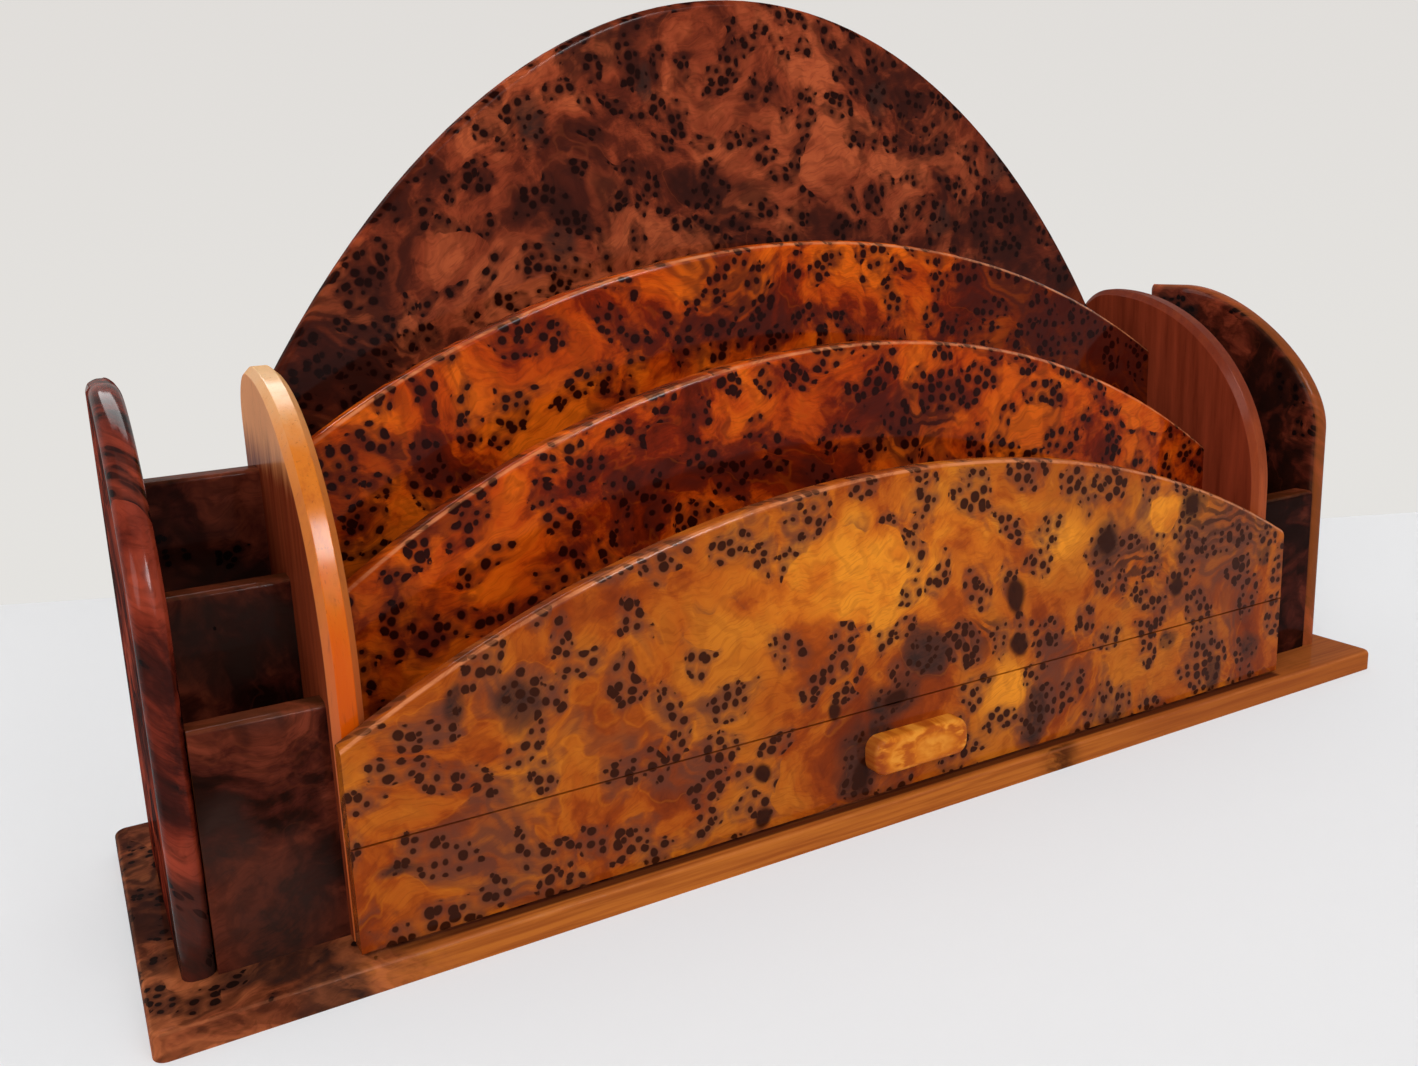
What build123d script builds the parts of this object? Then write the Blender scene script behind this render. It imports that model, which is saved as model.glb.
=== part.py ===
from build123d import *
import os
from math import cos, radians, sin

os.makedirs("parts", exist_ok=True)

# All sizes are in millimetres.
# The origin is the centre of the base board's underside, +Z is up and the front looks along -Y.
# Panel heights are stated above the base board's top face.

# Cabinet width and boards
body_width = 260.0
cheek_thickness = 6.3
front_panel_thickness = 4.8
rack_thickness = 5.5
back_panel_thickness = 5.5
slot_floor_thickness = 4.5

# Letter slots
front_slot_width = 17.2
middle_slot_width = 15.0
rear_slot_width = 18.0

# Arched panels: height at the ends, and rise of the arch above its ends
front_panel_end_height = 41.5
front_panel_rise = 34.6
middle_rack_end_height = 62.0
middle_rack_rise = 40.5
rear_rack_end_height = 88.5
rear_rack_rise = 37.7
back_panel_end_height = 99.2
back_panel_rise = 87.0

# Curve of the tall back: how far its tangents reach, as shares of the half width, and its slope at the ends
back_crown_reach = 0.445
back_end_reach = 0.405
back_end_slope = 58.5

# Cheeks: the front shoulder is one arc up to the crown, which runs on into the smaller rear corner
cheek_height = 106.3
cheek_rear_radius = 12.7
housing_depth = 1.5

# Outer panels of the pen boxes
outer_panel_thickness = 6.2
outer_panel_setback = 8.9
outer_panel_depth = 60.9
outer_panel_top_flat = 11.6
outer_panel_spring_height = 65.0
outer_panel_shoulder_rise = 40.7
outer_panel_shoulder_reach = 0.43

# Pen cells and the walls between them
pen_cell_width = 24.4
pen_cell_depth = 16.5
pen_wall_thickness = 6.3
pen_front_wall_height = 47.5
pen_wall_step = 18.8

# Base board
base_thickness = 5.5
base_front_ledge = 4.2
base_rear_ledge = 11.8
base_side_ledge = 6.9
base_corner_radius = 2.6

# Drawer
drawer_front_height = 21.0
drawer_side_thickness = 4.0
drawer_back_thickness = 4.0
drawer_bottom_thickness = 2.5
drawer_bottom_lift = 1.5
drawer_groove_depth = 1.5
pull_length = 27.0
pull_height = 8.9
pull_corner_radius = 3.2
pull_standout = 4.2

# Clearances round the drawer
drawer_closing_gap = 0.3
drawer_front_lift = 0.6
drawer_seam_gap = 0.4
drawer_runner_gap = 0.3
drawer_side_gap = 0.5
drawer_headroom = 2.5
drawer_rear_clearance = 2.0

# Eased edges: flats on the shaped boards, rounds on the others
panel_ease = 1.0
cheek_ease = 1.5
pen_wall_ease = 1.3
base_ease = 1.2
pull_ease = 1.3

# Widths that follow, measured from the middle
half_body = body_width / 2
half_inside = half_body - cheek_thickness
half_housed = half_inside + housing_depth
half_pen_box = half_body + pen_cell_width
half_outer = half_pen_box + outer_panel_thickness
base_length = 2 * (half_outer + base_side_ledge)

# Places that follow from front to back
cabinet_depth = (
    front_panel_thickness + front_slot_width + rack_thickness + middle_slot_width
    + rack_thickness + rear_slot_width + back_panel_thickness
)
base_depth = base_front_ledge + cabinet_depth + base_rear_ledge
front_face = base_front_ledge - base_depth / 2
cheek_front = front_face + front_panel_thickness
middle_rack_face = cheek_front + front_slot_width
rear_rack_face = middle_rack_face + rack_thickness + middle_slot_width
back_panel_face = rear_rack_face + rack_thickness + rear_slot_width
cabinet_rear = front_face + cabinet_depth

# Levels that follow
base_top = base_thickness
drawer_front_foot = base_top + drawer_front_lift
slot_floor_underside = drawer_front_foot + drawer_front_height + drawer_seam_gap
slot_floor_top = slot_floor_underside + slot_floor_thickness


def finish(block, name):
    """Name a finished piece and write it out."""
    block.part.label = name
    export_step(block.part, f"parts/{name}.step")


def above(block, level):
    """Edges of a block whose middles lie higher than a level."""
    return block.edges().filter_by(lambda edge: edge.center().Z > level)


def above_foot(board):
    """Outline edges of a side board's two faces, without those it stands on."""
    sides = board.faces().filter_by(Axis.X)
    return sides.edges().filter_by(lambda edge: edge.center().Z > base_top)


def arched_panel(half_width, face, thickness, foot, end_height, rise):
    """Upright board whose top edge is one arc of a circle."""
    shoulder = base_top + end_height
    with BuildPart() as panel:
        with BuildSketch(Plane.XZ.offset(-face)):
            with BuildLine():
                ThreePointArc((-half_width, shoulder), (0, shoulder + rise), (half_width, shoulder))
                Polyline(
                    (half_width, shoulder), (half_width, foot), (-half_width, foot), (-half_width, shoulder)
                )
            make_face()
        extrude(amount=-thickness)
        chamfer(panel.edges().filter_by(GeomType.CIRCLE), length=panel_ease)
    return panel


# Base board: rounded corners and an eased top edge
with BuildPart() as base_board:
    with BuildSketch():
        RectangleRounded(base_length, base_depth, base_corner_radius)
    extrude(amount=base_thickness)
    fillet(base_board.faces().sort_by(Axis.Z)[-1].edges(), radius=base_ease)
finish(base_board, "base_board")

# Floor of the letter slots, which is also the ceiling over the drawer
with BuildPart() as slot_floor:
    with BuildSketch(Plane.XY.offset(slot_floor_underside)):
        with BuildLine():
            Polyline(
                (-half_housed, cheek_front), (half_housed, cheek_front),
                (half_housed, back_panel_face), (-half_housed, back_panel_face), close=True,
            )
        make_face()
    extrude(amount=slot_floor_thickness)
finish(slot_floor, "slot_floor")

# Three arched panels in front of the back
front_panel = arched_panel(
    half_body, front_face, front_panel_thickness,
    slot_floor_underside, front_panel_end_height, front_panel_rise,
)
finish(front_panel, "front_panel")
middle_rack_panel = arched_panel(
    half_housed, middle_rack_face, rack_thickness,
    slot_floor_top, middle_rack_end_height, middle_rack_rise,
)
finish(middle_rack_panel, "middle_rack_panel")
rear_rack_panel = arched_panel(
    half_housed, rear_rack_face, rack_thickness,
    slot_floor_top, rear_rack_end_height, rear_rack_rise,
)
finish(rear_rack_panel, "rear_rack_panel")

# Back panel: a tall arch, flatter at its shoulders than a circle
back_shoulder = base_top + back_panel_end_height
back_crown = back_shoulder + back_panel_rise
back_end_tangent = half_housed * back_end_reach
with BuildPart() as back_panel:
    with BuildSketch(Plane.XZ.offset(-back_panel_face)):
        with BuildLine():
            Polyline((0, base_top), (half_housed, base_top), (half_housed, back_shoulder))
            Bezier(
                (half_housed, back_shoulder),
                (
                    half_housed - back_end_tangent * cos(radians(back_end_slope)),
                    back_shoulder + back_end_tangent * sin(radians(back_end_slope)),
                ),
                (half_housed * back_crown_reach, back_crown),
                (0, back_crown),
            )
            mirror(about=Plane.YZ)
        make_face()
    extrude(amount=-back_panel_thickness)
    chamfer(above(back_panel, back_shoulder), length=panel_ease)
finish(back_panel, "back_panel")


def cheek(side):
    """Side board of the cabinet, housed for the boards that run between the two cheeks."""
    crown = base_top + cheek_height
    crown_place = cabinet_rear - cheek_rear_radius
    shoulder_radius = crown_place - cheek_front
    spring = crown - shoulder_radius
    rear_corner = crown - cheek_rear_radius
    with BuildPart() as board:
        with BuildSketch(Plane.YZ.offset(side * half_body)):
            with BuildLine():
                Polyline(
                    (cabinet_rear, rear_corner), (cabinet_rear, base_top),
                    (cheek_front, base_top), (cheek_front, spring),
                )
                CenterArc((crown_place, spring), shoulder_radius, start_angle=90, arc_size=90)
                CenterArc((crown_place, rear_corner), cheek_rear_radius, start_angle=0, arc_size=90)
            make_face()
        extrude(amount=-side * cheek_thickness)
        chamfer(above_foot(board), length=cheek_ease)
        add(slot_floor.part, mode=Mode.SUBTRACT)
        add(middle_rack_panel.part, mode=Mode.SUBTRACT)
        add(rear_rack_panel.part, mode=Mode.SUBTRACT)
        add(back_panel.part, mode=Mode.SUBTRACT)
    return board


def outer_panel(side):
    """Outer board of a pen box: straight front, slow shoulder, short flat top."""
    face = front_face + outer_panel_setback
    rear = face + outer_panel_depth
    shoulder_end = rear - outer_panel_top_flat
    spring = base_top + outer_panel_spring_height
    top = spring + outer_panel_shoulder_rise
    with BuildPart() as board:
        with BuildSketch(Plane.YZ.offset(side * half_pen_box)):
            with BuildLine():
                Polyline((shoulder_end, top), (rear, top), (rear, base_top), (face, base_top), (face, spring))
                Bezier(
                    (face, spring),
                    (face, spring + outer_panel_shoulder_rise * outer_panel_shoulder_reach),
                    (shoulder_end - (shoulder_end - face) * outer_panel_shoulder_reach, top),
                    (shoulder_end, top),
                )
            make_face()
        extrude(amount=side * outer_panel_thickness)
        chamfer(above_foot(board), length=cheek_ease)
    return board


def pen_wall(side, place, height):
    """Cross wall of a pen box, with its top edges rounded."""
    face = front_face + outer_panel_setback + place
    with BuildPart() as wall:
        with BuildSketch(Plane.YZ.offset(side * half_body)):
            with BuildLine():
                Polyline(
                    (face, base_top), (face + pen_wall_thickness, base_top),
                    (face + pen_wall_thickness, base_top + height), (face, base_top + height), close=True,
                )
            make_face()
        extrude(amount=side * pen_cell_width)
        fillet(wall.faces().sort_by(Axis.Z)[-1].edges().filter_by(Axis.X), radius=pen_wall_ease)
    return wall


# Cheeks, outer panels and pen walls on both sides
wall_names = ["front", "middle", "back"]
for side, hand in ((-1, "left"), (1, "right")):
    finish(cheek(side), f"{hand}_cheek")
    finish(outer_panel(side), f"{hand}_outer_panel")
    for step, wall_name in enumerate(wall_names):
        place = step * (pen_wall_thickness + pen_cell_depth)
        height = pen_front_wall_height + step * pen_wall_step
        finish(pen_wall(side, place, height), f"{hand}_pen_{wall_name}_wall")

# Drawer box: where its boards lie
drawer_front_thickness = front_panel_thickness - drawer_closing_gap
drawer_front_rear = front_face + drawer_front_thickness
drawer_rear = back_panel_face - drawer_rear_clearance
drawer_board_start = drawer_front_rear - drawer_groove_depth
drawer_foot = base_top + drawer_runner_gap
drawer_side_top = slot_floor_underside - drawer_headroom
drawer_floor_underside = drawer_foot + drawer_bottom_lift
drawer_floor_top = drawer_floor_underside + drawer_bottom_thickness
half_drawer = half_inside - drawer_side_gap
half_drawer_inside = half_drawer - drawer_side_thickness
half_drawer_grooved = half_drawer_inside + drawer_groove_depth

# Drawer bottom, let into grooves in the front and the sides
with BuildPart() as drawer_bottom:
    with BuildSketch(Plane.XY.offset(drawer_floor_underside)):
        with BuildLine():
            Polyline(
                (-half_drawer_grooved, drawer_board_start), (half_drawer_grooved, drawer_board_start),
                (half_drawer_grooved, drawer_rear), (-half_drawer_grooved, drawer_rear), close=True,
            )
        make_face()
    extrude(amount=drawer_bottom_thickness)
finish(drawer_bottom, "drawer_bottom")

# Drawer back, standing on the bottom between rebates in the sides
with BuildPart() as drawer_back:
    with BuildSketch(Plane.XZ.offset(-drawer_rear)):
        with BuildLine():
            Polyline(
                (-half_drawer_grooved, drawer_floor_top), (half_drawer_grooved, drawer_floor_top),
                (half_drawer_grooved, drawer_side_top), (-half_drawer_grooved, drawer_side_top), close=True,
            )
        make_face()
    extrude(amount=drawer_back_thickness)
finish(drawer_back, "drawer_back")


def drawer_side(side):
    """Side of the drawer box, grooved for the bottom and rebated for the back."""
    with BuildPart() as board:
        with BuildSketch(Plane.YZ.offset(side * half_drawer)):
            with BuildLine():
                Polyline(
                    (drawer_board_start, drawer_foot), (drawer_rear, drawer_foot),
                    (drawer_rear, drawer_side_top), (drawer_board_start, drawer_side_top), close=True,
                )
            make_face()
        extrude(amount=-side * drawer_side_thickness)
        add(drawer_bottom.part, mode=Mode.SUBTRACT)
        add(drawer_back.part, mode=Mode.SUBTRACT)
    return board


drawer_left_side = drawer_side(-1)
finish(drawer_left_side, "drawer_left_side")
drawer_right_side = drawer_side(1)
finish(drawer_right_side, "drawer_right_side")

# Drawer front, as wide as the cabinet, housed for the sides and grooved for the bottom
with BuildPart() as drawer_front:
    with BuildSketch(Plane.XZ.offset(-front_face)):
        with BuildLine():
            Polyline(
                (-half_body, drawer_front_foot), (half_body, drawer_front_foot),
                (half_body, drawer_front_foot + drawer_front_height),
                (-half_body, drawer_front_foot + drawer_front_height), close=True,
            )
        make_face()
    extrude(amount=-drawer_front_thickness)
    add(drawer_left_side.part, mode=Mode.SUBTRACT)
    add(drawer_right_side.part, mode=Mode.SUBTRACT)
    add(drawer_bottom.part, mode=Mode.SUBTRACT)
finish(drawer_front, "drawer_front")

# Pull: a tab with rounded corners, glued to the middle of the drawer front
pull_level = drawer_front_foot + drawer_front_height / 2
with BuildPart() as drawer_pull:
    with BuildSketch(Plane((0, front_face, pull_level), x_dir=(1, 0, 0), z_dir=(0, -1, 0))):
        RectangleRounded(pull_length, pull_height, pull_corner_radius)
    extrude(amount=pull_standout)
    fillet(drawer_pull.faces().sort_by(Axis.Y)[0].edges(), radius=pull_ease)
finish(drawer_pull, "drawer_pull")
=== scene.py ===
import bmesh
import bpy
import math
from mathutils import Matrix, Vector


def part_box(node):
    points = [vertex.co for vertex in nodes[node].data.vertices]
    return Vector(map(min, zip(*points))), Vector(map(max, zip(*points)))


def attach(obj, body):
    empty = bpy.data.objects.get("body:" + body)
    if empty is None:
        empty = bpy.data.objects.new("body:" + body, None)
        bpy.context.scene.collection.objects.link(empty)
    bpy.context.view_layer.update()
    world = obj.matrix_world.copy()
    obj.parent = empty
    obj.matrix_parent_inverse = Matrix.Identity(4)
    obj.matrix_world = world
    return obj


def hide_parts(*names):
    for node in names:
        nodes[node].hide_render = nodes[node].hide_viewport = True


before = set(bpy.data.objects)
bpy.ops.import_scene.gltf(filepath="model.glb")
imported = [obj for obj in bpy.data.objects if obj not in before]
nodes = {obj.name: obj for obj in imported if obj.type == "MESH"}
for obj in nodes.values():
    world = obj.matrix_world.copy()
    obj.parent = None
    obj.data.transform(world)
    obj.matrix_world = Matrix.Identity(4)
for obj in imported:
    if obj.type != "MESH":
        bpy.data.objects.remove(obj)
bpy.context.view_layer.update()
scene = bpy.context.scene


# Shader maths

class Wire:
    """An output of a shader node that can be used in sums."""

    def __init__(self, bench, socket):
        self.bench = bench
        self.socket = socket

    def __add__(self, other):
        return self.bench.sum("ADD", self, other)

    def __radd__(self, other):
        return self.bench.sum("ADD", other, self)

    def __sub__(self, other):
        return self.bench.sum("SUBTRACT", self, other)

    def __rsub__(self, other):
        return self.bench.sum("SUBTRACT", other, self)

    def __mul__(self, other):
        return self.bench.sum("MULTIPLY", self, other)

    def __rmul__(self, other):
        return self.bench.sum("MULTIPLY", other, self)


class Bench:
    """A material being mixed: every node of it is made here."""

    def __init__(self, name):
        self.material = bpy.data.materials.new(name)
        self.material.use_nodes = True
        self.tree = self.material.node_tree
        self.tree.nodes.clear()

    def node(self, kind, output=0, settings=None, sockets=None, stops=None):
        """Make a node, set it up, then give its sockets their values or links."""
        made = self.tree.nodes.new("ShaderNode" + kind)
        for key, value in (settings or {}).items():
            setattr(made, key, value)
        if stops:
            ramp = made.color_ramp
            while len(ramp.elements) < len(stops):
                ramp.elements.new(0.5)
            for element, (place, colour) in zip(ramp.elements, stops):
                element.position = place
                element.color = (*colour, 1)
        for key, value in (sockets or {}).items():
            if isinstance(value, Wire):
                self.tree.links.new(value.socket, made.inputs[key])
            else:
                made.inputs[key].default_value = value
        return Wire(self, made.outputs[output]) if made.outputs else made

    def sum(self, operation, a, b):
        return self.node("Math", settings={"operation": operation}, sockets={0: a, 1: b})

    def sine(self, a):
        return self.node("Math", settings={"operation": "SINE"}, sockets={0: a})

    def step(self, value, low, high, to_low=0.0, to_high=1.0):
        """A soft step from to_low to to_high as value goes from low to high."""
        return self.node("MapRange", settings={"interpolation_type": "SMOOTHSTEP"}, sockets={
            "Value": value, "From Min": low, "From Max": high, "To Min": to_low, "To Max": to_high})

    def blend(self, a, b, share, how="MIX"):
        """Colour a goes over to colour b by share."""
        a, b = [colour if isinstance(colour, Wire) else (*colour, 1) for colour in (a, b)]
        return self.node("Mix", 2, {"data_type": "RGBA", "blend_type": how}, {0: share, 6: a, 7: b})

    def ramp(self, value, stops):
        return self.node("ValToRGB", "Color", sockets={"Fac": value}, stops=stops)

    def object_place(self):
        return self.node("TexCoord", "Object")

    def axes(self, vector):
        split = self.node("SeparateXYZ", "X", sockets={0: vector}).socket.node
        return [Wire(self, split.outputs[letter]) for letter in "XYZ"]

    def vector(self, x, y, z):
        return self.node("CombineXYZ", sockets={0: x, 1: y, 2: z})

    def vector_sum(self, operation, a, b):
        return self.node("VectorMath", settings={"operation": operation}, sockets={0: a, 1: b})

    def length(self, vector):
        return self.node("VectorMath", "Value", {"operation": "LENGTH"}, {0: vector})

    def scaled(self, a, scale):
        return self.node("VectorMath", settings={"operation": "SCALE"}, sockets={0: a, "Scale": scale})

    def shifted(self, place, push, share):
        return self.vector_sum("ADD", place, self.scaled(push, share))

    def noise(self, place, scale, detail, roughness=0.5, output="Fac"):
        return self.node("TexNoise", output, {"noise_dimensions": "3D"}, {
            "Vector": place, "Scale": scale, "Detail": detail, "Roughness": roughness})

    def push(self, place, scale, reach, detail):
        """A smoothly changing shift, of up to about half of reach each way."""
        shift = self.vector_sum("SUBTRACT", self.noise(place, scale, detail, output="Color"), (0.5, 0.5, 0.5))
        return self.scaled(shift, reach)

    def cells(self, place, scale, randomness):
        """Distance to the nearest of many scattered points."""
        return self.node("TexVoronoi", "Distance", {"voronoi_dimensions": "2D"}, {
            "Vector": place, "Scale": scale, "Randomness": randomness})

    def cell_luck(self, cells):
        """Three random numbers for each point of the same scatter."""
        return self.axes(Wire(self, cells.socket.node.outputs["Color"]))

    def bump(self, height, strength, distance):
        return self.node("Bump", sockets={"Height": height, "Strength": strength, "Distance": distance})

    def lacquer(self, colour, roughness, normal, gloss=1.0, coat=1.14, coat_roughness=0.06):
        """Wood under a clear coat: the finished surface of the material."""
        shader = self.node("BsdfPrincipled", sockets={
            "Base Color": colour, "Roughness": roughness, "Normal": normal, "Specular IOR Level": 0.0,
            "Coat Weight": gloss, "Coat Roughness": coat_roughness, "Coat IOR": coat})
        self.node("OutputMaterial", sockets={"Surface": shader})
        return self.material

    def facing(self, letter):
        """1 where the surface looks along an axis, either way, and 0 where it looks across it."""
        normal = self.axes(self.node("TexCoord", "Normal"))["XYZ".index(letter)]
        return self.node("Math", settings={"operation": "ABSOLUTE"}, sockets={0: normal})

    def graze_fade(self, start, end, least):
        """1, and less gloss where the surface is seen almost from its edge."""
        grazing = self.node("LayerWeight", "Facing", sockets={"Blend": 0.5})
        return self.step(grazing, start, end, 1, least)

    def spots(self, place, ovals, soft):
        """1 inside any of the ovals, fading out at their rims, of which soft is where the fade starts.

        An oval is its middle across and up, then its half width and half height."""
        share = 0.0
        for across, up, wide, high in ovals:
            off = self.vector_sum("SUBTRACT", place, (across, up, 0))
            off = self.vector_sum("MULTIPLY", off, (1 / wide, 1 / high, 0))
            share = self.sum("MAXIMUM", self.step(self.length(off), soft, 1.0, 1, 0), share)
        return share


# Burl. Places on a board are in millimetres, across and up its face.

MILLIMETRES = 1000

# Slant of the figure through a board, across and up, and its pace there
SLANT_ACROSS = 600
SLANT_UP = 800
PACE_THROUGH = 700

# Swirls: turns to the millimetre, and reach in millimetres
RIPPLE_SCALE, RIPPLE_REACH = 0.11, 7.0
DRIFT_SCALE, DRIFT_REACH = 0.021, 32.0

# Noises that the layers share: turns to the millimetre
BROAD_SCALE = 0.036
FLAME_SCALE = 0.13
SMOKE_SCALE = 0.047
SMOKE_START = (70, 30, 11)

# Tones of the ground lie at these levels of its noise, from dark to light
GROUND_LEVELS = (0.34, 0.435, 0.495, 0.60)

# Where each kind of mark starts to fade, as a share of its oval
DARK_FADE = 0.15
CLEAR_FADE = 0.6
CURL_FADE = 0.25
SOOT_AND_SHADE_FADE = 0.45
KNOT_FADE = 0.5
STAIN_FADE = 0.1

# Radius of the dots, as a share of their grid's cell
SMALL_PIP, LARGE_PIP = 0.25, 0.44

# Painted highlight on arrises, plain edge, soot that is painted shade on the pen boxes, dark marks, painted
# shadow in front of the drawer, and redder wood
ARRIS_HIGHLIGHT = (0.60, 0.21, 0.085)
EDGE = (0.50, 0.125, 0.026)
SOOT_AND_SHADE = (0.026, 0.012, 0.009)
STAIN = (0.035, 0.008, 0.004)
DRAWER_SHADE = (0.045, 0.008, 0.004)
RED_WOOD = (0.25, 0.058, 0.015)

# Lacquer on burl: its roughness, the height of its waves in metres, and how it fades at a grazing look
SMOOTH_BURL, ROUGH_BURL = 0.30, 0.44
BURL_WAVE = 0.0008
BURL_GRAZE_FROM, BURL_GRAZE_TO, BURL_GRAZE_LEAST = 0.86, 0.95, 0.05

# Parts of the base's top, in millimetres
REDDER_FROM, REDDER_TO = 40, 110
RIGHT_END_FROM, RIGHT_END_TO = 124, 132
PLAIN_FADE = 24
# Painted shadow on the base's top in front of the drawer: its depths from front to back, and its right end
DRAWER_SHADOW_DEPTHS = (-42.0, -41.2, -39.2, -38.8)
DRAWER_SHADOW_END = (128, 130)


class Figure:
    """The burl of one board: its own part of the pattern, its tones and how crowded its dots are.

    The plane names the axes across, up and through the board. Tones go from light to dark. The
    lists of marks hold ovals, as spots takes them."""

    def __init__(self, name, plane, start, tones, smoke, pip, crowd, haze, lines, nest=0.105, spread=0.50,
                 ragged=0.7, pip_grid=0.38, pip_rim=0.08, shade=(1.0, 1.0, 1.0), glow=(), glow_rim=0.1,
                 lift=0.0, knots=(), soot_and_shade=(), dark=(), clear=(), curls=(), edge_wood=None, arris=0.55,
                 edge_tint=0.08, edge_gloss=1.0, gloss=1.0, coat=1.14, coat_roughness=0.06):
        self.bench = bench = Bench(name)
        self.tones, self.smoke, self.pip = tones, smoke, pip
        self.lay_fields(plane, start, dark, clear)
        self.lay_ground(lines, shade, glow, glow_rim, lift)
        self.lay_smoke(haze, curls, soot_and_shade)
        self.lay_pips(crowd, nest, spread, ragged, pip_grid, pip_rim)
        if edge_wood:
            self.lay_plain_edges(*edge_wood)
        else:
            self.colour = bench.blend(self.colour, EDGE, self.edge * edge_tint)
        self.lay_arris_highlights(arris)
        if knots:
            knot = bench.spots(bench.shifted(self.board, self.ripple, 0.5), knots, KNOT_FADE)
            self.colour = bench.blend(self.colour, pip, knot * 0.97)
        wave = self.broad * 0.8 + self.flame * 0.2 - self.pips * 0.10
        normal = bench.bump(wave, 0.15, BURL_WAVE)
        roughness = bench.step(self.flame, 0.3, 0.7, SMOOTH_BURL, ROUGH_BURL)
        flat_gloss = bench.step(self.facing, 0.93, 0.995, gloss * edge_gloss, gloss)
        coat_weight = bench.graze_fade(BURL_GRAZE_FROM, BURL_GRAZE_TO, BURL_GRAZE_LEAST) * flat_gloss
        self.material = bench.lacquer(self.colour, roughness, normal, coat_weight, coat, coat_roughness)

    def lay_fields(self, plane, start, dark, clear):
        """Places on the board, bent by slow and quick swirls, and the noises that the layers share.

        The figure is slanted through the thickness, so that it also shows round dots on the edges."""
        bench = self.bench
        self.axes = dict(zip("XYZ", bench.axes(bench.object_place())))
        across, up, through = [self.axes[letter] for letter in plane]
        self.board = bench.vector(across * MILLIMETRES, up * MILLIMETRES, through * PACE_THROUGH)
        slanted = bench.vector(across * MILLIMETRES + through * SLANT_ACROSS,
                               up * MILLIMETRES + through * SLANT_UP, through * PACE_THROUGH)
        self.own = bench.vector_sum("ADD", slanted, start)
        self.ripple = bench.push(self.own, RIPPLE_SCALE, RIPPLE_REACH, 2.0)
        drift = bench.vector_sum("ADD", self.own, bench.push(self.own, DRIFT_SCALE, DRIFT_REACH, 1.0))
        self.swirl = bench.vector_sum("ADD", drift, self.ripple)
        self.near = bench.shifted(self.board, self.ripple, 1.1)
        self.zone = bench.spots(self.near, dark, DARK_FADE)
        self.bare = bench.spots(self.near, clear, CLEAR_FADE)
        self.broad = bench.noise(drift, BROAD_SCALE, 3.0, 0.55)
        self.flame = bench.noise(self.swirl, FLAME_SCALE, 5.0, 0.62)
        self.north = bench.axes(self.swirl)[1]
        self.facing = bench.facing(plane[2])
        self.edge = bench.step(self.facing, 0.45, 0.75, 1, 0)

    def lay_ground(self, lines, shade, glow, glow_rim, lift):
        """Flames of lighter and darker wood, fine hatched grain that follows the swirls, and bands."""
        bench, tones = self.bench, self.tones
        lit = bench.spots(self.near, glow, glow_rim)
        tone = self.broad * 0.62 + self.flame * 0.38 - self.zone * 0.05 + self.bare * 0.04 + lit * lift
        ground = bench.ramp(tone, list(zip(GROUND_LEVELS, reversed(tones))))
        east = bench.axes(self.swirl)[0]
        hatched = bench.vector(east * 0.20 + self.north * 0.14, self.north * 1.5 - east * 0.5, 0)
        self.grain = bench.noise(hatched, 1.0, 2.0, 0.6)
        ground = bench.blend(ground, tones[3], bench.step(self.grain, 0.48, 0.66, 0, 0.26))
        self.bands = bench.sine(self.broad * 70 + self.flame * 8 + self.north * 0.35)
        ground = bench.blend(ground, tones[3], bench.step(self.bands, 0.0, 1.0, 0, lines))
        shaded = bench.blend(ground, shade, 1.0, "MULTIPLY")
        self.colour = bench.blend(shaded, ground, lit)

    def lay_smoke(self, haze, curls, soot_and_shade):
        """Smoky patches with faint pale rims, curls of dark bands, and soft dark spots of soot, which on the
        pen boxes are painted shade.
        """
        bench = self.bench
        field = bench.noise(bench.vector_sum("ADD", self.swirl, SMOKE_START), SMOKE_SCALE, 3.0, 0.55)
        level = field + self.zone * 0.20 - self.bare * 0.15
        rim = bench.step(level, haze - 0.018, haze - 0.004) * bench.step(level, haze, haze + 0.014, 1, 0)
        colour = bench.blend(self.colour, self.tones[0], rim * 0.10)
        thin_haze = bench.step(level, haze, haze + 0.03, 0, 0.30)
        self.haze = thin_haze + bench.step(level, haze, haze + 0.15, 0, 0.50)
        streaks = bench.step(self.bands + self.grain, -0.6, 1.3, 0.55, 1.0)
        colour = bench.blend(colour, self.smoke, self.haze * streaks)
        curl = bench.sine(self.north * 1.9 + self.broad * 60 + self.flame * 9)
        share = bench.spots(self.near, curls, CURL_FADE) * bench.step(self.flame, 0.30, 0.50, 0.5, 1.0)
        dark_smoke = [channel * 0.45 for channel in self.smoke]
        colour = bench.blend(colour, dark_smoke, share * bench.step(curl, -0.5, 0.7, 0, 0.85))
        # Soot spots; on the pen boxes they are painted shade
        uneven = bench.step(self.flame + self.grain * 0.4, 0.50, 0.85, 1.0, 0.62)
        self.soot_and_shade_share = bench.spots(self.near, soot_and_shade, SOOT_AND_SHADE_FADE) * uneven
        self.colour = bench.blend(colour, SOOT_AND_SHADE, self.soot_and_shade_share)

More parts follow.
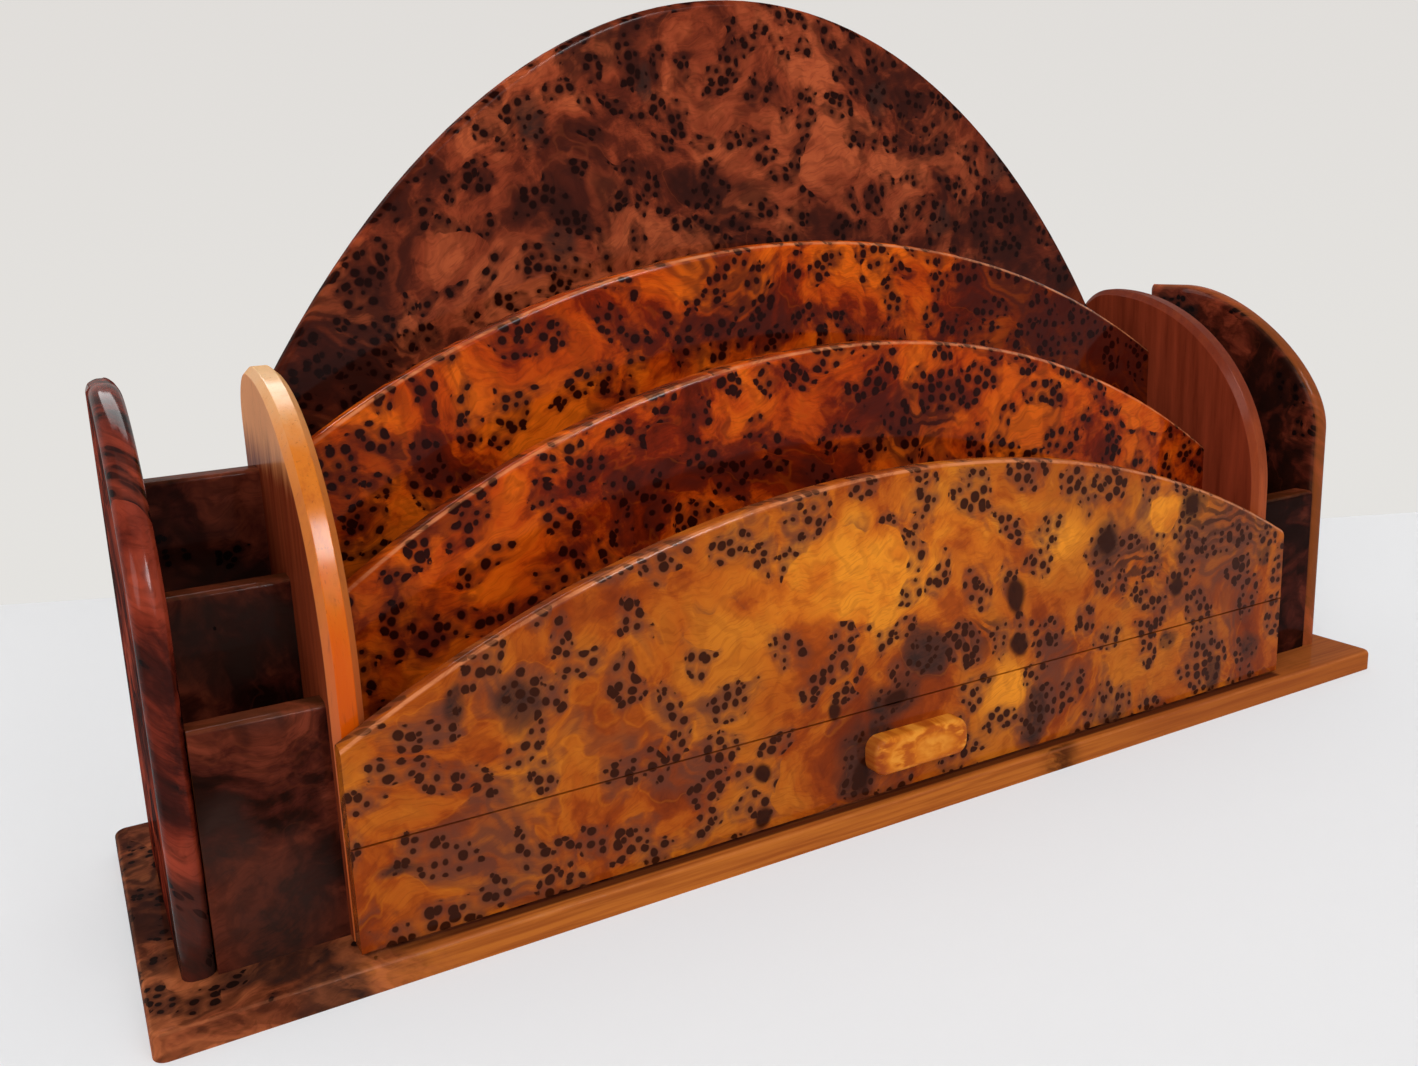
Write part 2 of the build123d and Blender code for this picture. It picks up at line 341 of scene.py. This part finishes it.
    def lay_pips(self, crowd, nest, spread, ragged, pip_grid, pip_rim):
        """Round dots in loose nests, each nest in a smoky halo."""
        bench = self.bench
        gather = bench.cells(self.swirl, nest, 1.0)
        luck = bench.cell_luck(gather)
        want = luck[0] + (self.broad - 0.5) * 0.9 + self.zone * 0.65 - self.bare * 1.2 + self.haze * 0.25
        size = bench.step(want, 1 - crowd, 1.25 - crowd, 0, spread)
        far = gather + (self.flame - 0.5) * ragged - size - self.zone * 0.10
        nested = bench.step(far, -0.20, 0.02, 1, 0) * bench.step(size, 0.02, 0.12)
        nested = bench.sum("MAXIMUM", nested, self.soot_and_shade_share * min(crowd, 1.0))
        seeds = bench.cells(bench.shifted(self.own, self.ripple, 0.3), pip_grid, 0.9)
        seed_size = bench.step(bench.cell_luck(seeds)[0], 0.05, 0.75, SMALL_PIP, LARGE_PIP)
        reach = nested * seed_size * bench.step(luck[1], 0.7, 1.0, 1.0, 1.2)
        pips = bench.step(seeds + self.flame * 0.12 - 0.06 - reach, -pip_rim, 0.02, 1, 0)
        self.pips = pips * bench.step(reach, 0.14, 0.22) * (1 - self.edge * 0.35)
        halo = nested * bench.step(seeds, 0.30, 0.85, 0.70, 0.24) * (1 - self.soot_and_shade_share)
        colour = bench.blend(self.colour, self.smoke, halo)
        self.colour = bench.blend(colour, self.pip, self.pips * 0.96)

    def lay_plain_edges(self, light, dark, from_left, front_strip, marks):
        """Plain wood on the edges and along the front of the base, right of a place from the left, and a
        painted shadow line on the base's top in front of the drawer.
        """
        bench = self.bench
        along, back, high = [self.axes[letter] for letter in "XYZ"]
        streak = bench.noise(bench.vector(along * 30, back * 900, high * 900), 1.0, 3.0, 0.6)
        plain = bench.blend(light, dark, bench.step(streak, 0.38, 0.68))
        redder = bench.step(along * MILLIMETRES + self.flame * 10, REDDER_FROM, REDDER_TO, 0, 0.5)
        plain = bench.blend(plain, RED_WOOD, redder)
        strip = bench.step(back * MILLIMETRES + self.flame * 2, front_strip, front_strip + 1.0, 1, 0)
        right_end = bench.step(along * MILLIMETRES + self.flame * 8, RIGHT_END_FROM, RIGHT_END_TO, 0, 0.85)
        strip = bench.sum("MAXIMUM", strip, right_end)
        share = bench.step(along * MILLIMETRES + self.flame * PLAIN_FADE, from_left, from_left + PLAIN_FADE)
        self.colour = bench.blend(self.colour, plain, bench.sum("MAXIMUM", self.edge, strip) * share)
        stain = bench.spots(self.near, marks, STAIN_FADE) * bench.step(self.flame, 0.38, 0.56, 0.15, 0.85)
        self.colour = bench.blend(self.colour, STAIN, stain)
        # Painted shadow: a dark line on the base's top in front of the drawer
        front, front_full, rear_full, rear = DRAWER_SHADOW_DEPTHS
        line = bench.step(back * MILLIMETRES, front, front_full)
        line = line * bench.step(back * MILLIMETRES, rear_full, rear, 1, 0)
        line = line * bench.step(along * MILLIMETRES, *DRAWER_SHADOW_END, 1, 0)
        self.colour = bench.blend(self.colour, DRAWER_SHADE, line * (1 - self.edge) * share * 0.85)

    def lay_arris_highlights(self, arris):
        """Painted highlights along the arrises, in patches."""
        bench = self.bench
        # Painted highlight: the arrises are made paler, in patches
        arris_highlight_mask = bench.step(self.facing, 0.50, 0.64) * bench.step(self.facing, 0.82, 0.93, 1, 0)
        patchy = bench.step(self.flame + self.grain * 0.5, 0.60, 0.90, arris * 0.45, arris * 1.3)
        self.colour = bench.blend(self.colour, ARRIS_HIGHLIGHT, arris_highlight_mask * patchy * (1 - self.pips * 0.6))


# Plain wood

# Painted highlights: a paler crown on a cheek's face and on its edge, and pale arrises
CROWN_HIGHLIGHT = (0.80, 0.32, 0.11)
CROWN_EDGE_HIGHLIGHT = (0.78, 0.50, 0.24)
PLAIN_ARRIS_HIGHLIGHT = (0.80, 0.45, 0.22)

# Pace of the streaks along their run, then turns of streaks and pores
RUN_PACE = 70
STREAK_SCALE = 0.33
PORE_SCALE = 2.0

# Heights on a cheek, in metres: where its edge's upper tone, partly painted light and shade, and its painted
# crown highlight come in
EDGE_TOP_FROM, EDGE_TOP_TO = 0.075, 0.125
CROWN_FROM, CROWN_TO = 0.0945, 0.106
CROWN_EDGE_FROM, CROWN_EDGE_TO = 0.101, 0.118

# Lacquer on plain wood: its roughness, the height of its waves in metres, and how it fades at a grazing look
SMOOTH_WOOD, ROUGH_WOOD = 0.28, 0.40
WOOD_WAVE = 0.0004
WOOD_GRAZE_FROM, WOOD_GRAZE_TO, WOOD_GRAZE_LEAST = 0.70, 0.86, 0.25


def straight_wood(name, run, start, light, dark, face, edge_top, edge_low, gloss=1.0, arris=0.0, crown_highlight=0.0):
    """Solid wood: long streaks along one axis, with fine pores, and edges of another tone above and below.

    A crown is a painted highlight, a paler share at the top end. The edges' tones above and below are partly
    painted light and shade, and the arrises can get a painted highlight."""
    bench = Bench(name)
    axes = bench.axes(bench.object_place())
    pace = {letter: RUN_PACE if letter == run else MILLIMETRES for letter in "XYZ"}
    parts = [axis * pace[letter] + offset for axis, letter, offset in zip(axes, "XYZ", start)]
    place = bench.vector(*parts)
    place = bench.vector_sum("ADD", place, bench.push(place, 0.05, 6.0, 1.0))
    streak = bench.noise(place, STREAK_SCALE, 4.0, 0.6)
    pores = bench.noise(place, PORE_SCALE, 2.0, 0.7)
    height = axes[2]
    colour = bench.ramp(streak, [(0.33, dark), (0.66, light)])
    # The edge's tone changes with height: partly painted light and shade
    edge = bench.blend(edge_low, edge_top, bench.step(height + streak * 0.06, EDGE_TOP_FROM, EDGE_TOP_TO))
    dark_edge = [channel * 0.6 for channel in edge_low]
    edge = bench.blend(edge, dark_edge, bench.step(streak, 0.45, 0.75, 0, 0.6))
    wavy_height = height + streak * 0.01
    # Painted highlight on the crown of the edge and of the face
    edge_crown_highlight = bench.step(wavy_height, CROWN_EDGE_FROM, CROWN_EDGE_TO, 0, crown_highlight)
    edge = bench.blend(edge, CROWN_EDGE_HIGHLIGHT, edge_crown_highlight)
    colour = bench.blend(colour, CROWN_HIGHLIGHT, bench.step(wavy_height, CROWN_FROM, CROWN_TO, 0, crown_highlight))
    facing = bench.facing(face)
    colour = bench.blend(colour, edge, bench.step(facing, 0.60, 0.92, 1, 0))
    pore_dark = [channel * 0.4 for channel in dark]
    colour = bench.blend(colour, pore_dark, bench.step(pores, 0.58, 0.75, 0, 0.35))
    # Painted highlight: the arrises are made paler
    arris_highlight_mask = bench.step(facing, 0.50, 0.64) * bench.step(facing, 0.80, 0.92, 1, 0)
    colour = bench.blend(colour, PLAIN_ARRIS_HIGHLIGHT, arris_highlight_mask * arris)
    normal = bench.bump(streak * 0.5 + pores * 0.12, 0.10, WOOD_WAVE)
    roughness = bench.step(streak, 0.3, 0.7, SMOOTH_WOOD, ROUGH_WOOD)
    coat_weight = bench.graze_fade(WOOD_GRAZE_FROM, WOOD_GRAZE_TO, WOOD_GRAZE_LEAST) * gloss
    return bench.lacquer(colour, roughness, normal, coat_weight, coat=1.24, coat_roughness=0.19)


# Tones of the burls, from light to dark

amber = [(0.68, 0.228, 0.015), (0.55, 0.138, 0.009), (0.37, 0.070, 0.006), (0.20, 0.034, 0.006)]
russet = [(0.60, 0.100, 0.004), (0.42, 0.047, 0.002), (0.17, 0.012, 0.0015), (0.050, 0.004, 0.001)]
chestnut = [(0.37, 0.074, 0.024), (0.20, 0.032, 0.0115), (0.086, 0.0135, 0.0062), (0.030, 0.005, 0.0026)]
wine = [(0.25, 0.036, 0.016), (0.125, 0.015, 0.007), (0.042, 0.0055, 0.003), (0.010, 0.002, 0.001)]
umber = [(0.17, 0.034, 0.014), (0.055, 0.010, 0.005), (0.016, 0.004, 0.002), (0.006, 0.002, 0.001)]
base_tones = [(0.38, 0.105, 0.036), (0.20, 0.048, 0.018), (0.085, 0.020, 0.009), (0.028, 0.007, 0.003)]

# Marks laid out one by one: middle across, middle up, half width, half height

front_knots = [
    (32, 46, 4.0, 5.4), (33, 34, 3.6, 4.0), (88, 38.5, 3.4, 4.0), (-41.6, 9.0, 3.0, 3.2),
    (-41.2, 19.5, 2.4, 2.8), (-22, 28.5, 2.4, 2.8), (-14.8, 12, 3, 5.5), (-4.5, 28.5, 4.4, 2.8),
    (62, 55, 3.6, 4.6), (92, 60, 3.4, 3.8)]
front_soot = [
    (4, 38, 10, 9), (-5, 28.5, 10, 7), (-15.5, 14, 7.5, 14), (-9, 21, 6, 5), (38, 14, 5, 10), (103, 11, 4, 7),
    (62, 55, 6.5, 7.5), (92, 60, 7, 7), (85, 24, 4, 4.5), (118, 15, 5, 6), (66, 7, 5, 4), (122, 41, 4, 4),
    (-96, 48, 7, 7), (-108, 51, 4, 4), (-122, 21, 6, 2.5)]
front_dark = [
    (4, 38, 12, 9), (-16, 14, 7, 13), (38, 14, 11, 10), (85, 34, 18, 10), (62, 52, 14, 8), (-94, 50, 14, 11),
    (-57, 24, 15, 9), (-104, 22, 26, 12), (-112, 48, 10, 8), (106, 46, 26, 14)]
front_clear = [(-29.5, 14, 12, 13), (-18, 60, 22, 12), (-52, 54, 10, 6), (82, 58, 6, 6)]
front_curls = [(104, 52, 30, 11), (19, 38, 13, 6), (72, 46, 18, 8)]
front_glow = [(-8, 60, 66, 30), (82, 58, 16, 14), (46, 58, 14, 8), (30, 24, 16, 10)]
middle_dark = [(-96, 80, 18, 9), (-42, 82, 26, 7), (64, 83, 8, 10), (18, 92, 34, 10), (-110, 62, 20, 14)]
middle_clear = [(-50, 91, 6, 5), (102, 82, 14, 8)]
middle_curls = [(20, 86, 18, 10)]
# Ovals on the rear rack's right half darken it towards the right cheek: partly dark burl, partly painted
# shade
rear_dark = [(92, 106, 40, 16), (60, 116, 30, 12), (116, 92, 14, 16), (-100, 90, 24, 12), (-20, 112, 30, 9)]
rear_clear = [(14, 119, 9, 6)]
# Outside this oval the rear rack takes its shade tint: painted shade on its right end by the right cheek
rear_glow = [(-50, 108, 130, 80)]
back_dark = [
    (-104, 114, 24, 22), (-28, 174, 9, 6), (92, 126, 26, 26), (60, 160, 16, 14), (-58, 142, 18, 8),
    (-14, 146, 24, 7), (0, 120, 40, 9)]
back_soot = [
    (-58, 162, 5, 8), (-28, 171, 3, 5), (-52, 134, 6, 6), (86, 150, 6, 7), (64, 135, 5, 6), (44, 168, 4, 6)]
back_clear = [(-34, 158, 9, 7), (26, 152, 10, 11), (-80, 132, 10, 7), (-13, 184, 12, 6)]
back_glow = [(-38, 150, 150, 90)]
base_dark = [(-152, 0, 26, 60)]
# Darker spots at the front left of the base's top
base_dark_spots = [(-136, -43, 9, 7), (-143, -34, 16, 7)]
base_stain = [(43, -43.6, 9, 4)]
# Painted shade: the left outer panel darkens towards its bottom at the front
left_box_painted_shade = [(-30, 6, 16, 26)]
# Painted shade on the middle pen wall inside the pen; the front pen wall is darker towards its bottom
pen_wall_dark_and_shade = [(-142, 62, 20, 13), (-142, 14, 17, 20), (-150, 30, 9, 12)]

# Plain wood of the base: light, dark, the place from the left where it starts, its front strip and its stain
base_edge_wood = ((0.41, 0.120, 0.019), (0.28, 0.070, 0.013), -122, -39.0, base_stain)

front_burl = Figure(
    "front_burl", "XZY", (334, 72, 7), amber, smoke=(0.100, 0.030, 0.017), pip=(0.026, 0.0055, 0.002),
    crowd=1.15, haze=0.56, lines=0.20, nest=0.092, ragged=0.60, pip_grid=0.37, pip_rim=0.11,
    shade=(0.62, 0.50, 0.62), glow=front_glow, lift=0.042, knots=front_knots, soot_and_shade=front_soot,
    dark=front_dark, clear=front_clear, curls=front_curls).material
middle_rack_burl = Figure(
    "middle_rack_burl", "XZY", (-509.5, 274, 3), russet, smoke=(0.058, 0.007, 0.004),
    pip=(0.012, 0.0014, 0.0008), crowd=1.3, haze=0.55, lines=0.28, nest=0.115, spread=0.52, ragged=0.8,
    pip_grid=0.35, pip_rim=0.11, dark=middle_dark, clear=middle_clear, curls=middle_curls).material
rear_rack_burl = Figure(
    "rear_rack_burl", "XZY", (903, -312, 21), russet, smoke=(0.052, 0.007, 0.004),
    pip=(0.012, 0.0014, 0.0008), crowd=1.3, haze=0.55, lines=0.28, nest=0.115, spread=0.52, ragged=0.8,
    pip_grid=0.35, pip_rim=0.11, shade=(0.30, 0.24, 0.28), glow=rear_glow, glow_rim=0.70,
    dark=rear_dark, clear=rear_clear).material
back_burl = Figure(
    "back_burl", "XZY", (-1221, 589, 33), chestnut, smoke=(0.026, 0.006, 0.004), pip=(0.008, 0.0015, 0.001),
    crowd=1.2, haze=0.525, lines=0.22, nest=0.13, spread=0.48, ragged=0.8, pip_grid=0.365, pip_rim=0.16,
    shade=(0.60, 0.55, 0.62), glow=back_glow, glow_rim=0.5, dark=back_dark, clear=back_clear,
    soot_and_shade=back_soot, arris=0.0, edge_tint=0.0, edge_gloss=0.1).material
base_burl = Figure(
    "base_burl", "XYZ", (207, 1286, 5), base_tones, smoke=(0.030, 0.009, 0.006), pip=(0.010, 0.004, 0.003),
    crowd=0.45, haze=0.55, lines=0.3, dark=base_dark, soot_and_shade=base_dark_spots, edge_wood=base_edge_wood,
    arris=0.12, gloss=0.2).material
left_box_burl = Figure(
    "left_pen_box_burl", "YZX", (1710, 510, 11), wine, smoke=(0.012, 0.004, 0.003),
    pip=(0.005, 0.002, 0.002), crowd=0.45, haze=0.54, lines=0.12, spread=0.6, soot_and_shade=left_box_painted_shade,
    arris=0.0, edge_tint=0.0, gloss=0.55, coat=1.22, coat_roughness=0.13).material
right_box_burl = Figure(
    "right_pen_box_burl", "YZX", (-810, 505, 17), umber, smoke=(0.012, 0.004, 0.003),
    pip=(0.005, 0.002, 0.002), crowd=0.35, haze=0.50, lines=0.3, shade=(1.65, 1.4, 1.4), arris=0.06,
    edge_tint=0.32, gloss=0.5).material
pen_wall_burl = Figure(
    "pen_wall_burl", "XZY", (2310, 115, 15), umber, smoke=(0.010, 0.003, 0.002), pip=(0.004, 0.002, 0.002),
    crowd=0.0, haze=0.52, lines=0.3, shade=(0.84, 0.80, 0.90), soot_and_shade=pen_wall_dark_and_shade, arris=0.05,
    gloss=0.3).material

# The left cheek's crown and arrises carry painted highlights
left_cheek_wood = straight_wood(
    "left_cheek_wood", "Z", (3, 7, 0), light=(0.19, 0.034, 0.011), dark=(0.12, 0.017, 0.006), face="X",
    edge_top=(0.53, 0.142, 0.008), edge_low=(0.50, 0.070, 0.001), gloss=0.85, arris=0.08, crown_highlight=0.75)
# Its edge is darker at the top, where it turns to face up: painted shade
right_cheek_wood = straight_wood(
    "right_cheek_wood", "Z", (303, 47, 20), light=(0.25, 0.038, 0.014), dark=(0.142, 0.020, 0.0075), face="X",
    edge_top=(0.13, 0.020, 0.008), edge_low=(0.31, 0.060, 0.014), gloss=0.45)
inside_wood = straight_wood(
    "inside_wood", "X", (11, 5, 2), light=(0.32, 0.13, 0.05), dark=(0.22, 0.08, 0.03), face="Y",
    edge_top=(0.32, 0.13, 0.05), edge_low=(0.32, 0.13, 0.05), gloss=0.3)


def pull_burl():
    """Pale yellow burl round a small eye, off the middle of the pull."""
    eye_right, eye_drop = 0.003, 0.0005
    left_end_from, left_end_to = -9.5, -5.5
    bench = Bench("pull_burl")
    low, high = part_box("drawer_pull")
    middle = (low + high) / 2
    axes = bench.axes(bench.object_place())
    across = axes[0] - middle.x - eye_right
    up = axes[2] - middle.z + eye_drop
    place = bench.vector(across * MILLIMETRES, up * 1900, axes[1] * 200)
    place = bench.vector_sum("ADD", place, bench.push(place, 0.16, 5.0, 2.0))
    far = bench.length(place)
    rough = bench.noise(place, 0.3, 3.0)
    rings = bench.sine(far * 1.2 + rough * 7)
    pale, yellow, brown = (0.64, 0.235, 0.026), (0.52, 0.145, 0.011), (0.36, 0.075, 0.008)
    eye, left_end = (0.14, 0.026, 0.008), (0.24, 0.040, 0.008)
    tone = rough * 0.80 + bench.step(rings, -1, 1) * 0.20
    colour = bench.ramp(tone, [(0.34, brown), (0.5, yellow), (0.66, pale)])
    colour = bench.blend(colour, eye, bench.step(far, 0.6, 1.9, 0.75, 0))
    near_left = bench.step(axes[0] * MILLIMETRES + rough * 8, left_end_from, left_end_to, 0.75, 0)
    colour = bench.blend(colour, left_end, near_left)
    normal = bench.bump(rings * 0.3 + rough, 0.1, 0.0003)
    return bench.lacquer(colour, bench.step(rough, 0.3, 0.7, SMOOTH_WOOD, ROUGH_WOOD), normal)


wood_of = {
    "base_board": base_burl,
    "back_panel": back_burl,
    "rear_rack_panel": rear_rack_burl,
    "middle_rack_panel": middle_rack_burl,
    "front_panel": front_burl,
    "slot_floor": inside_wood,
    "left_cheek": left_cheek_wood,
    "right_cheek": right_cheek_wood,
    "left_outer_panel": left_box_burl,
    "right_outer_panel": right_box_burl,
    "drawer_front": front_burl,
    "drawer_left_side": inside_wood,
    "drawer_right_side": inside_wood,
    "drawer_back": inside_wood,
    "drawer_bottom": inside_wood,
    "drawer_pull": pull_burl(),
}
for side in ("left", "right"):
    for wall in ("front", "middle", "back"):
        wood_of[f"{side}_pen_{wall}_wall"] = pen_wall_burl
for node_name, board in nodes.items():
    board.data.materials.clear()
    board.data.materials.append(wood_of[node_name])


# Boards with rounded arrises

CHEEK_ROUNDING = 0.0010
PANEL_ROUNDING = 0.0006
EASE_ANGLE_FROM, EASE_ANGLE_TO = math.radians(30), math.radians(60)
SHARP_ANGLE = math.radians(40)
FLAT_ANGLE = math.radians(0.5)
WELD = 1e-6


def rounded_board(node_name, rounding):
    """A board whose flat eases are worked round with sandpaper; it stands for the CAD node."""
    shape = bmesh.new()
    shape.from_mesh(nodes[node_name].data)
    bmesh.ops.remove_doubles(shape, verts=shape.verts, dist=WELD)
    bmesh.ops.dissolve_limit(shape, angle_limit=FLAT_ANGLE, verts=shape.verts, edges=shape.edges)
    eased = [edge for edge in shape.edges if len(edge.link_faces) == 2
             and EASE_ANGLE_FROM < edge.calc_face_angle(0) < EASE_ANGLE_TO]
    bmesh.ops.bevel(shape, geom=eased, offset=rounding, segments=4, profile=0.5, affect="EDGES",
                    clamp_overlap=True, material=-1)
    bmesh.ops.triangulate(shape, faces=[face for face in shape.faces if len(face.verts) > 4])
    for face in shape.faces:
        face.smooth = True
    for edge in shape.edges:
        edge.smooth = edge.calc_face_angle(0) < SHARP_ANGLE
    mesh = bpy.data.meshes.new(node_name + "_rounded")
    shape.to_mesh(mesh)
    shape.free()
    mesh.materials.append(wood_of[node_name])
    piece = bpy.data.objects.new(node_name + "_rounded", mesh)
    scene.collection.objects.link(piece)
    weighted = piece.modifiers.new("weighted_normals", "WEIGHTED_NORMAL")
    weighted.keep_sharp = True
    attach(piece, "holder")
    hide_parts(node_name)


for node_name, rounding, slot_name in (
        ("left_cheek", CHEEK_ROUNDING, "cheek_wood"),
        ("right_cheek", CHEEK_ROUNDING, "cheek_wood"),
        ("left_outer_panel", CHEEK_ROUNDING, "pen_box_burl"),
        ("right_outer_panel", CHEEK_ROUNDING, "pen_box_burl"),
        ("front_panel", PANEL_ROUNDING, "front_burl"),
        ("middle_rack_panel", PANEL_ROUNDING, "rack_burl"),
        ("rear_rack_panel", PANEL_ROUNDING, "rack_burl"),
        ("back_panel", PANEL_ROUNDING, "back_burl")):
    rounded_board(node_name, rounding)


# Floor and wall

def stage_sheet(name, half_size, place, paint):
    """A large flat sheet of the studio, its middle moved and turned to its place."""
    shape = bmesh.new()
    bmesh.ops.create_grid(shape, x_segments=1, y_segments=1, size=half_size, matrix=place)
    mesh = bpy.data.meshes.new(name)
    shape.to_mesh(mesh)
    shape.free()
    mesh.materials.append(paint)
    surface = bpy.data.objects.new(name, mesh)
    scene.collection.objects.link(surface)


def seen(bench):
    """1 where the camera sees the surface, by itself or in gloss or glass."""
    by_itself = bench.node("LightPath", "Is Camera Ray")
    rays = by_itself.socket.node.outputs
    in_gloss, in_glass = Wire(bench, rays["Is Glossy Ray"]), Wire(bench, rays["Is Transmission Ray"])
    return bench.sum("MAXIMUM", by_itself, bench.sum("MAXIMUM", in_gloss, in_glass))


def floor_paper():
    """Plain pale paper that keeps the object's shadow."""
    bench = Bench("floor_paper")
    paper = bench.node("BsdfDiffuse", sockets={"Color": (0.82, 0.82, 0.83, 1)})
    white = bench.node("Emission", sockets={"Color": (0.80, 0.808, 0.822, 1), "Strength": 1.0})
    both = bench.node("MixShader", sockets={0: seen(bench) * 0.5, 1: paper, 2: white})
    bench.node("OutputMaterial", sockets={"Surface": both})
    return bench.material


def wall_paper():
    """Even pale wall that shows from its front alone."""
    bench = Bench("wall_paper")
    height = bench.axes(bench.object_place())[2]
    tone = bench.blend((0.78, 0.765, 0.74), (0.74, 0.715, 0.69), bench.step(height, 0.0, 0.35))
    paint = bench.node("BsdfDiffuse", sockets={"Color": (0.75, 0.73, 0.71, 1)})
    glow = bench.node("Emission", sockets={"Color": tone, "Strength": 1.0})
    clear = bench.node("BsdfTransparent")
    front = bench.node("MixShader", sockets={0: seen(bench), 1: paint, 2: glow})
    both = bench.node("MixShader", sockets={0: bench.node("NewGeometry", "Backfacing"), 1: front, 2: clear})
    bench.node("OutputMaterial", sockets={"Surface": both})
    return bench.material


# Two points of the line where the wall meets the floor
wall_left = Vector((-0.1944, 0.296, 0))
wall_right = Vector((0.3575, 0.0563, 0))
floor_half_size = 4
wall_half_size = 3

wall_turn = (wall_right - wall_left).to_track_quat("X", "Z").to_matrix().to_4x4()
upright = Matrix.Rotation(math.radians(90), 4, "X")
wall_middle = (wall_left + wall_right) / 2 + Vector((0, 0, wall_half_size))
stage_sheet("floor", floor_half_size, Matrix.Identity(4), floor_paper())
stage_sheet("wall", wall_half_size, Matrix.Translation(wall_middle) @ wall_turn @ upright, wall_paper())


# Camera at the photograph's place

# The photograph's width and middle, the point that the lens looks at, and the focal length, all in pixels
photo_width = 1418
photo_middle_x, photo_middle_y = 709, 533
lens_x, lens_y = 660.0, 484.7
focal_length = 1207.82
sensor_width = 36

camera_place = (-0.16945, -0.24804, 0.13572)
camera_yaw, camera_pitch, camera_roll = [math.radians(angle) for angle in (27.11, 11.84, -2.78)]


def aimed_camera():
    """Camera turned by its yaw to the right, its pitch down and its roll."""
    level = math.cos(camera_pitch)
    ahead = Vector((math.sin(camera_yaw) * level, math.cos(camera_yaw) * level, -math.sin(camera_pitch)))
    right = Vector((math.cos(camera_yaw), -math.sin(camera_yaw), 0))
    up = right.cross(ahead)
    turned_right = right * math.cos(camera_roll) + up * math.sin(camera_roll)
    turned_up = up * math.cos(camera_roll) - right * math.sin(camera_roll)
    data = bpy.data.cameras.new("camera")
    data.sensor_width = sensor_width
    data.sensor_fit = "HORIZONTAL"
    data.lens = sensor_width * focal_length / photo_width
    data.shift_x = (photo_middle_x - lens_x) / photo_width
    data.shift_y = (lens_y - photo_middle_y) / photo_width
    data.clip_start = 0.01
    camera = bpy.data.objects.new("camera", data)
    scene.collection.objects.link(camera)
    turn = Matrix((turned_right, turned_up, -ahead)).transposed().to_4x4()
    camera.matrix_world = Matrix.Translation(camera_place) @ turn
    scene.camera = camera


aimed_camera()


# Lamps and world

def lamp(name, place, target, size, power, gloss_alone=False):
    """A soft round lamp aimed at a point; a card for glints shows in gloss alone."""
    data = bpy.data.lights.new(name, "AREA")
    data.shape = "DISK"
    data.size = size
    data.energy = power
    made = bpy.data.objects.new(name, data)
    made.visible_diffuse = not gloss_alone
    made.visible_camera = False
    scene.collection.objects.link(made)
    aim = (Vector(target) - Vector(place)).to_track_quat("-Z", "Y").to_matrix().to_4x4()
    made.matrix_world = Matrix.Translation(place) @ aim


lamp("window_lamp", (-1.15, -0.95, 0.95), (0.0, 0.0, 0.06), size=0.9, power=13)
lamp("front_card", (0.36, -1.38, 1.36), (-0.14, -0.03, 0.09), size=0.65, power=45, gloss_alone=True)
lamp("top_card", (-0.08, 0.24, 0.31), (-0.13, -0.01, 0.11), size=0.30, power=1.9, gloss_alone=True)
lamp("front_lamp", (0.45, -1.5, 0.9), (0.0, 0.0, 0.06), size=1.0, power=8)
lamp("overhead_lamp", (0.1, -0.1, 1.6), (0.05, 0.0, 0.0), size=1.4, power=3)

world = bpy.data.worlds.new("studio")
world.use_nodes = True
background = world.node_tree.nodes["Background"]
background.inputs["Color"].default_value = (1.0, 1.0, 1.0, 1)
background.inputs["Strength"].default_value = 0.55
scene.world = world
scene.view_settings.view_transform = "Standard"
